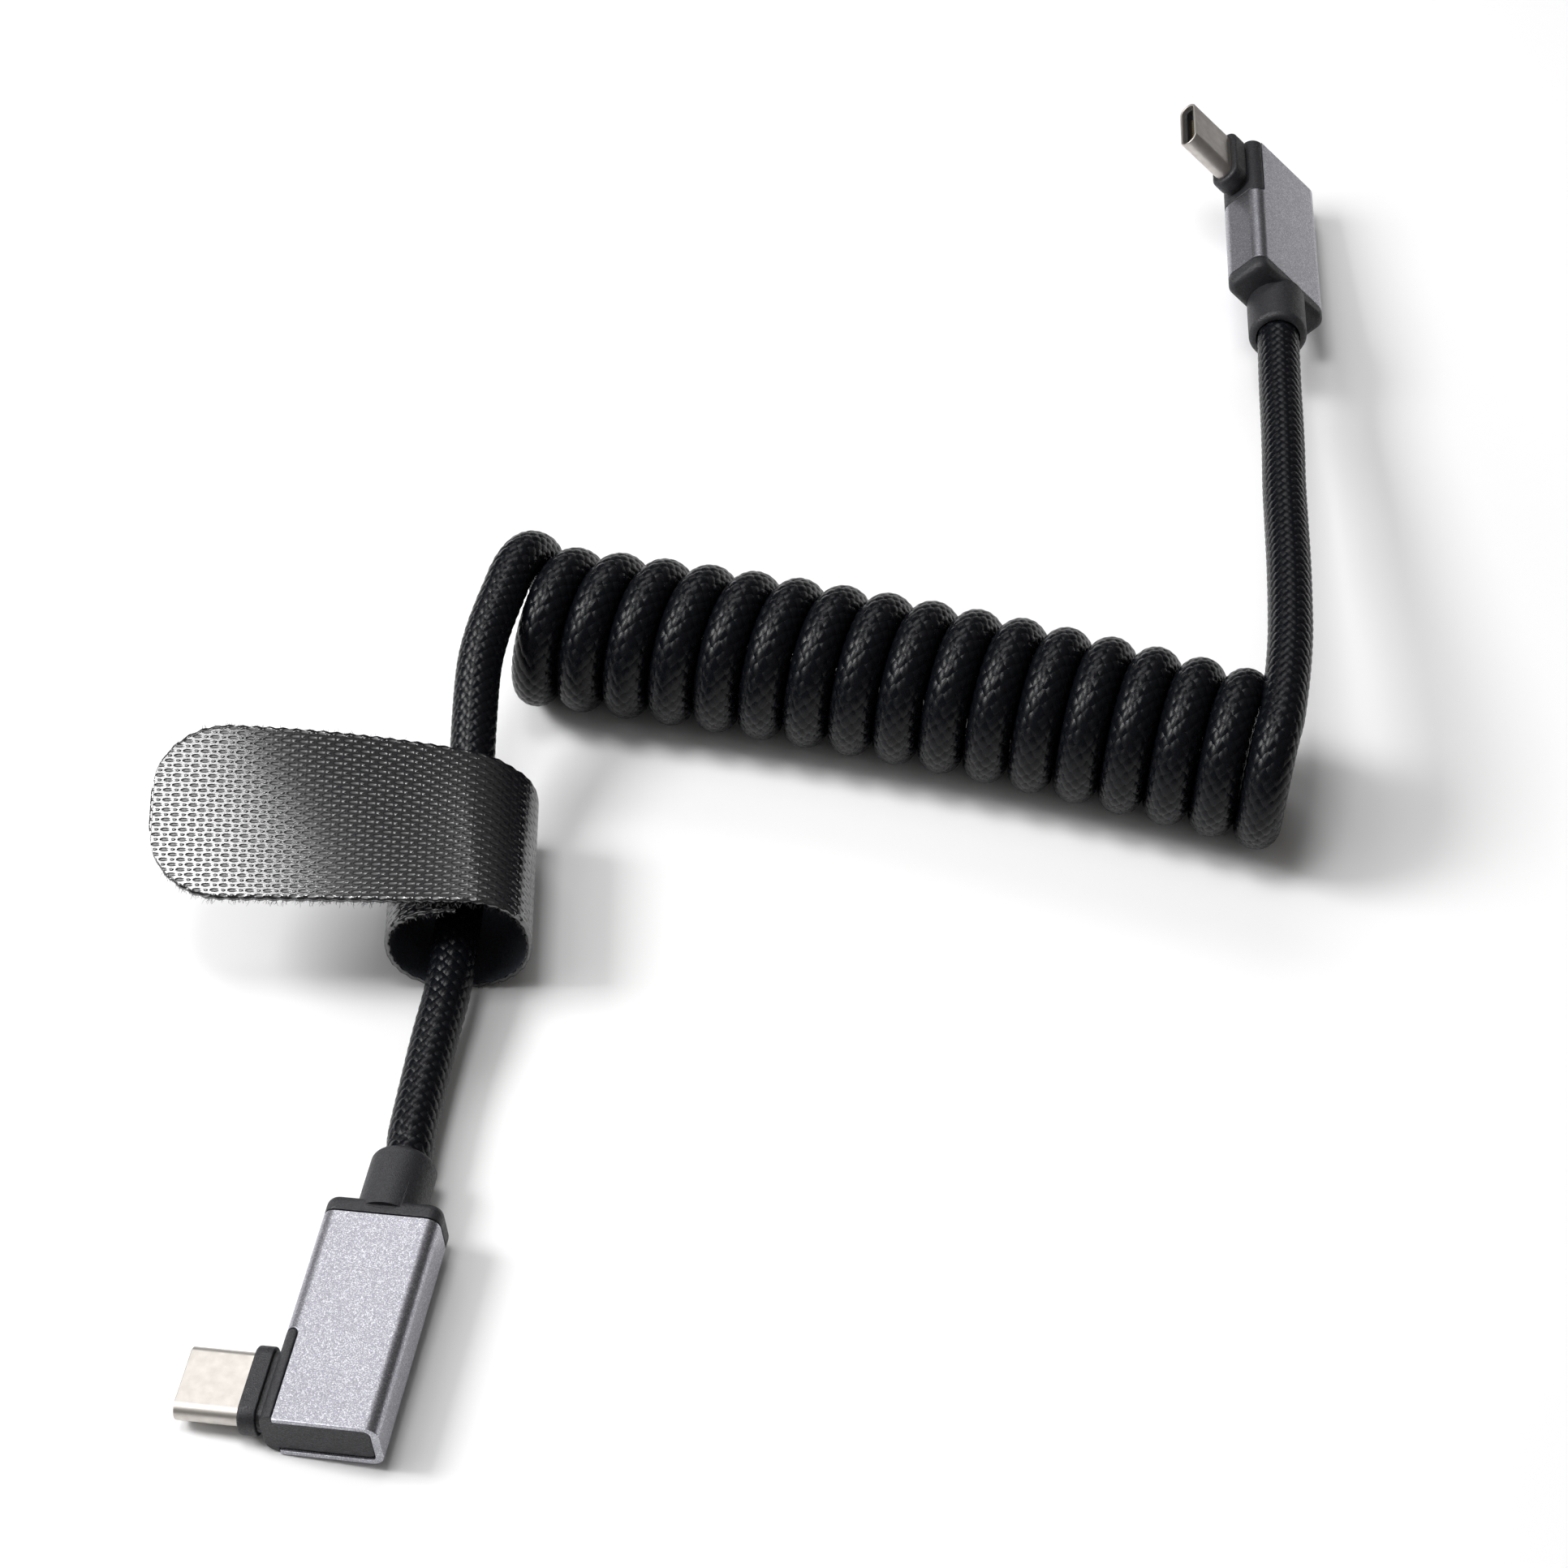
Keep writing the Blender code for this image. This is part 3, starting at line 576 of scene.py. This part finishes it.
vary(tree, shader, "Base Color", noise(tree, 2500.0), ((0.3, 0.012), (0.7, 0.022)))
insulator.data.materials.append(insulator_finish)

contact_finish, tree, shader = new_finish("gilt_contacts", Metallic=1.0, Roughness=0.28)
vary(tree, shader, "Base Color", noise(tree, 4000.0),
     ((0.3, (0.72, 0.52, 0.24)), (0.7, (0.86, 0.66, 0.34))))
springs = []
spring_start = tip_face + 0.9 * MM
for side in (-1, 1):
    for number in range(CONTACTS):
        y = TONGUE_CENTRE + (number - (CONTACTS - 1) / 2) * CONTACT_PITCH
        spring = block("spring", (spring_start, y - CONTACT_HALF_WIDTH, 0.28 * MM),
                       (tip_face + 4.9 * MM, y + CONTACT_HALF_WIDTH, 0.5 * MM))
        if side < 0:
            spring.data.transform(Matrix.Scale(-1, 4, (0, 0, 1)))
            spring.data.flip_normals()
        round_edges(spring, lies_at(ACROSS_PLUG, spring_start), 0.08 * MM, 2)
        springs.append(spring)
only(springs[0])
for spring in springs:
    spring.select_set(True)
bpy.ops.object.join()
contacts = bpy.context.object
contacts.data.materials.append(contact_finish)

# The end caps: a black moulding that closes the sleeve and runs on into the round boot, out of
# whose mouth the cable comes.
BOOT_RADIUS = 3.45 * MM
BOOT_MOUTH_RADIUS = 2.62 * MM
BOOT_MOUTH_DEPTH = 1.4 * MM
BOOT_LIP_ROUND = 0.75 * MM
mouth = BOOT_END * MM
cap_front, cap_back = SLEEVE_LENGTH + 0.13 * MM, SLEEVE_LENGTH + 2.1 * MM
boot_start = cap_back - 1.0 * MM
cap = block("cap", (-half_width, cap_front, -half_height), (half_width, cap_back, half_height))
round_edges(cap, runs_along(ALONG_PLUG), BODY_CORNER, 10)
round_edges(cap, lies_at(ALONG_PLUG, cap_back), 0.9 * MM, 6)
round_edges(cap, lies_at(ALONG_PLUG, cap_front), 0.08 * MM, 2)
bpy.ops.object.select_all(action="DESELECT")
bpy.ops.mesh.primitive_cylinder_add(vertices=72, radius=BOOT_RADIUS, depth=mouth - boot_start,
                                    location=(0.0, (mouth + boot_start) / 2, 0.0),
                                    rotation=(math.radians(-90.0), 0.0, 0.0))
boot = start_piece("boot")
pick(boot, "face", lies_at(ALONG_PLUG, mouth))
bpy.ops.mesh.inset(thickness=BOOT_RADIUS - BOOT_MOUTH_RADIUS)
bpy.ops.mesh.extrude_region_move(TRANSFORM_OT_translate={"value": (0.0, -BOOT_MOUTH_DEPTH, 0.0)})
bpy.ops.object.mode_set(mode="OBJECT")


def is_outer_lip(corners):
    outside = all(Vector((c.x, c.z)).length > BOOT_RADIUS - 0.15 * MM for c in corners)
    return lies_at(ALONG_PLUG, mouth)(corners) and outside


round_edges(boot, is_outer_lip, BOOT_LIP_ROUND, 6)
combine(cap, boot, "UNION")
smooth_faces(cap)
cap.data.materials.append(moulding_finish)

# Both plugs are made alike, so each piece is modelled once and copied to its two plugs
plug_pieces = {"sleeve": (sleeve, "anodised_aluminium"), "core": (core, "black_moulding"),
               "shell": (shell, "plated_steel"), "insulator": (insulator, "black_insulator"),
               "contacts": (contacts, "black_insulator"), "cap": (cap, "black_moulding")}
for side, plug in (("left", LEFT_PLUG), ("right", RIGHT_PLUG)):
    for name, (model, slot) in plug_pieces.items():
        piece = bpy.data.objects.new(side + "_plug_" + name, model.data.copy())
        piece.data.name = piece.name
        scene.collection.objects.link(piece)
        piece.data.transform(plug)
        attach(piece, "root")
        if name != "contacts":
            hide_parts(side + "_" + name)
for model, slot in plug_pieces.values():
    bpy.data.objects.remove(model)

# The strap: a woven hook-and-loop band, 20 mm wide, wrapped once round the left lead. Its hook
# side is outward, and its free end stands off to the left, a little twisted, with rounded corners.
STRAP_WIDTH = 20.0 * MM
STRAP_THICKNESS = 1.2 * MM
BAND_THICKNESS = 0.55 * MM
LOOP_WIDTH = 15.6 * MM
LOOP_HEIGHT = 14.4 * MM
LOOP_SQUARENESS = 2.25
LAP_GAP = 0.4 * MM
TAIL = 32.2 * MM
TAIL_SLOPE = 0.3 * MM
TAIL_END_RADIUS = 8.0 * MM
TAIL_TWIST = math.radians(17.5)
TAIL_RISE = 2.8 * MM
TAIL_SPRINGS_AT = 5.0 * MM
SCALLOP = 0.09 * MM
SCALLOP_PITCH = 1.4 * MM
STRAP_PLACE = np.array((-33.48, -22.95, 0.0)) * MM
STRAP_STEP = 0.35 * MM
STRAP_COLUMNS = 49


def strap_line():
    """The band's middle line: round the loop from its top, over itself and out to the left."""
    half = STRAP_THICKNESS / 2
    reach, rise = LOOP_WIDTH / 2 - half, LOOP_HEIGHT / 2 - half
    line = []
    for degrees in range(90, 450, 10):
        across, up = math.cos(math.radians(degrees)), math.sin(math.radians(degrees))
        # The end that was wound first lies under the lap
        lowered = STRAP_THICKNESS + LAP_GAP if degrees < 180 else 0.0
        x = reach * math.copysign(abs(across) ** (2 / LOOP_SQUARENESS), across)
        z = (rise - lowered) * math.copysign(abs(up) ** (2 / LOOP_SQUARENESS), up)
        line.append((x, 0.0, LOOP_HEIGHT / 2 + z))
    for eighth in range(9):
        line.append((-TAIL * eighth / 8, 0.0, LOOP_HEIGHT - half + TAIL_SLOPE * eighth / 8))
    return line


strap_middle, strap_length = even_steps(through(strap_line(), 12), STRAP_STEP)
strap_across = np.linspace(-1.0, 1.0, STRAP_COLUMNS)
strap_run = np.linspace(0.0, strap_length, len(strap_middle))
on_top = (strap_run > strap_length / 2) & (strap_middle[:, 2] > LOOP_HEIGHT / 2)
off_loop = np.clip((TAIL_SPRINGS_AT - strap_middle[:, 0]) / (TAIL_SPRINGS_AT + TAIL), 0.0, 1.0)
share = np.where(on_top, 1 - (1 - off_loop) ** 2, 0.0)
to_end = TAIL_END_RADIUS - (TAIL + strap_middle[:, 0])
corner = TAIL_END_RADIUS - np.sqrt(np.maximum(0.0, TAIL_END_RADIUS ** 2 - to_end ** 2))
rounding = np.where((to_end > 0) & on_top, corner, 0.0)
scallops = SCALLOP * np.sin(2 * np.pi * strap_run / SCALLOP_PITCH)
half_strap = STRAP_WIDTH / 2 - rounding + scallops
twist = TAIL_TWIST * share
across_way = np.stack([np.zeros_like(twist), np.cos(twist), np.sin(twist)], axis=1)
middle = STRAP_PLACE + strap_middle + np.stack([0 * share, 0 * share, TAIL_RISE * share], axis=1)
sideways = half_strap[:, None] * strap_across[None, :]
strap_points = middle[:, None, :] + across_way[:, None, :] * sideways[..., None]
strap_places = np.stack(np.broadcast_arrays(sideways * 1000, strap_run[:, None] * 1000), axis=-1)
strap = piece_from("strap_band", strap_points.reshape(-1, 3),
                   grid_faces(len(middle), len(strap_across)), strap_places.reshape(-1, 2))

# The weave's cells in millimetres: a gap in the middle of each, and a crown where threads cross
CELL_ACROSS = 1.14
CELL_ALONG = 1.84
strap_finish, tree, shader = new_finish("hook_and_loop_weave", Specular_IOR_Level=0.8, IOR=1.75)
uv = add_node(tree, "ShaderNodeTexCoord").outputs["UV"]
split = add_node(tree, "ShaderNodeSeparateXYZ", {"Vector": uv})
rows = maths(tree, "MULTIPLY", split.outputs["X"], 1 / CELL_ACROSS)
columns = maths(tree, "MULTIPLY", split.outputs["Y"], 1 / CELL_ALONG)
beside = maths(tree, "ADD", columns, 0.5)


def hump(tree, value, shift):
    """1 on the middle of each cell along one direction and 0 between cells."""
    part = maths(tree, "FRACT", maths(tree, "ADD", value, shift))
    return maths(tree, "SINE", maths(tree, "MULTIPLY", part, math.pi))


def lens(tree, rows, columns, shift):
    """The long thin gap in the middle of each cell of the weave."""
    narrow = maths(tree, "POWER", hump(tree, rows, shift), 2.2)
    return maths(tree, "MULTIPLY", narrow, hump(tree, columns, shift))


def crossing(tree, rows, columns, shift):
    """A small round crown where two threads of the weave cross."""
    return maths(tree, "MULTIPLY", hump(tree, rows, shift), hump(tree, columns, shift))


def steep(tree, value, start, end):
    """0 below the start and 1 above the end."""
    return add_node(tree, "ShaderNodeMapRange",
                    {"Value": value, "From Min": start, "From Max": end}).outputs[0]


cells = maths(tree, "MAXIMUM", lens(tree, rows, columns, 0.0), lens(tree, rows, columns, 0.5))
crowns = maths(tree, "MAXIMUM", crossing(tree, rows, beside, 0.0),
               crossing(tree, rows, beside, 0.5))
gaps_and_painted_shade = steep(tree, cells, 0.65, 0.93)
knots = steep(tree, crowns, 0.9, 1.0)
drawn_out = add_node(tree, "ShaderNodeMapping", {"Vector": uv, "Scale": (9.0, 2.5, 1.0)})
threads = noise(tree, 1.0, 3.0, place=drawn_out.outputs["Vector"])
# The gaps are painted darker than the yarn: painted shade in the weave's pits, which the relief
# also sinks
vary(tree, shader, "Base Color", gaps_and_painted_shade, ((0.1, (0.007, 0.007, 0.009)), (0.6, (0.002, 0.002, 0.003))))
vary(tree, shader, "Roughness", gaps_and_painted_shade, ((0.2, 0.18), (0.8, 0.4)))
knotted = maths(tree, "MULTIPLY_ADD", knots, 0.4, maths(tree, "MULTIPLY", threads, 0.05))
relief(tree, shader, maths(tree, "MULTIPLY_ADD", gaps_and_painted_shade, -0.6, knotted), 0.00012, 1.0)
strap.data.materials.append(strap_finish)

# The loops' soft pile lines the inside. Its colour is painted lighter than the black weave: painted
# light in the loop's shaded inside.
pile_painted_light_finish, tree, shader = new_finish("loop_pile", Roughness=0.9, Specular_IOR_Level=0.2)
pile = noise(tree, 5000.0, 4.0)
vary(tree, shader, "Base Color", pile, ((0.3, (0.03, 0.034, 0.042)), (0.7, (0.06, 0.066, 0.08))))
relief(tree, shader, pile, 0.0001, 0.6)
strap.data.materials.append(pile_painted_light_finish)
only(strap)
thickness = strap.modifiers.new("thickness", "SOLIDIFY")
thickness.thickness, thickness.offset, thickness.use_even_offset = BAND_THICKNESS, 0.9, True
thickness.material_offset = 1
bpy.ops.object.modifier_apply(modifier=thickness.name)

# Loose fibre ends stand out along the strap's cut edges
FIBRES = 900
FIBRE_HALF_WIDTH = 0.02 * MM
chance = np.random.RandomState(5)
rooted = chance.randint(4, len(middle) - 3, FIBRES)
hand = chance.choice((-1.0, 1.0), FIBRES)[:, None]
along_way = unit(np.gradient(middle, axis=0))[rooted]
outward = across_way[rooted]
root_points = middle[rooted] + outward * half_strap[rooted][:, None] * hand
slant = chance.uniform(-1.0, 1.0, (FIBRES, 1))
stand = unit(outward * hand + along_way * slant + chance.normal(0, 0.3, (FIBRES, 3)))
reach = stand * (chance.uniform(0.2, 0.75, (FIBRES, 1)) * MM)
curl = chance.normal(0, 0.1, (FIBRES, 3)) * MM
breadth = along_way * FIBRE_HALF_WIDTH
half_way, fibre_tip = root_points + reach * 0.5 + curl, root_points + reach
fibre_points = np.stack([root_points - breadth, root_points + breadth,
                         half_way - breadth, half_way + breadth,
                         fibre_tip - breadth * 0.5, fibre_tip + breadth * 0.5], axis=1)
fibre_faces = (grid_faces(3, 2)[None] + 6 * np.arange(FIBRES)[:, None, None]).reshape(-1, 4)
fibres = piece_from("strap_fibres", fibre_points.reshape(-1, 3), fibre_faces,
                    np.zeros((6 * FIBRES, 2)))
fibres.data.materials.append(strap_finish)
only(strap)
fibres.select_set(True)
bpy.ops.object.join()
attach(strap, "root")
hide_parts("strap")

# The surface that it lies on: a plain white table that ends behind the cable, under soft studio
# light. A large softbox and a small bright window stand to the left, one softbox hangs above the
# strap, and a wide one behind lights the upper faces towards the camera.
bpy.ops.object.select_all(action="DESELECT")
bpy.ops.mesh.primitive_plane_add(size=1.0, location=(0.0, -0.16, 0.0))
bpy.context.object.scale = (0.9, 0.68, 1.0)
floor = start_piece("floor")
floor_finish, tree, shader = new_finish("white_table", Roughness=0.6, Specular_IOR_Level=0.25)
vary(tree, shader, "Base Color", noise(tree, 9.0),
     ((0.3, (0.86, 0.86, 0.87)), (0.7, (0.88, 0.88, 0.88))))
floor.data.materials.append(floor_finish)


def softbox(name, place, size, power):
    light = bpy.data.lights.new(name, "AREA")
    light.shape, light.size, light.size_y = "RECTANGLE", size[0], size[1]
    light.energy = power
    stand = bpy.data.objects.new(name, light)
    stand.location = place
    stand.rotation_euler = (-Vector(place)).to_track_quat("-Z", "Y").to_euler()
    scene.collection.objects.link(stand)


softbox("left_softbox", (-0.72, -0.02, 0.69), (0.9, 0.9), 4.1)
softbox("left_window", (-0.71, 0.05, 0.66), (0.31, 0.31), 6.5)
softbox("top_softbox", (-0.175, -0.01, 1.0), (0.3, 0.3), 3.4)
softbox("back_softbox", (-0.13, 0.95, 0.97), (0.8, 0.4), 4.2)
world = bpy.data.worlds.new("studio")
world.use_nodes = True
tree = world.node_tree
upward = add_node(tree, "ShaderNodeSeparateXYZ",
                  {"Vector": add_node(tree, "ShaderNodeTexCoord").outputs["Generated"]})
vary(tree, tree.nodes["Background"], "Color", upward.outputs["Z"],
     ((0.1, 0.03), (0.6, (0.165, 0.16, 0.155))))
scene.world = world
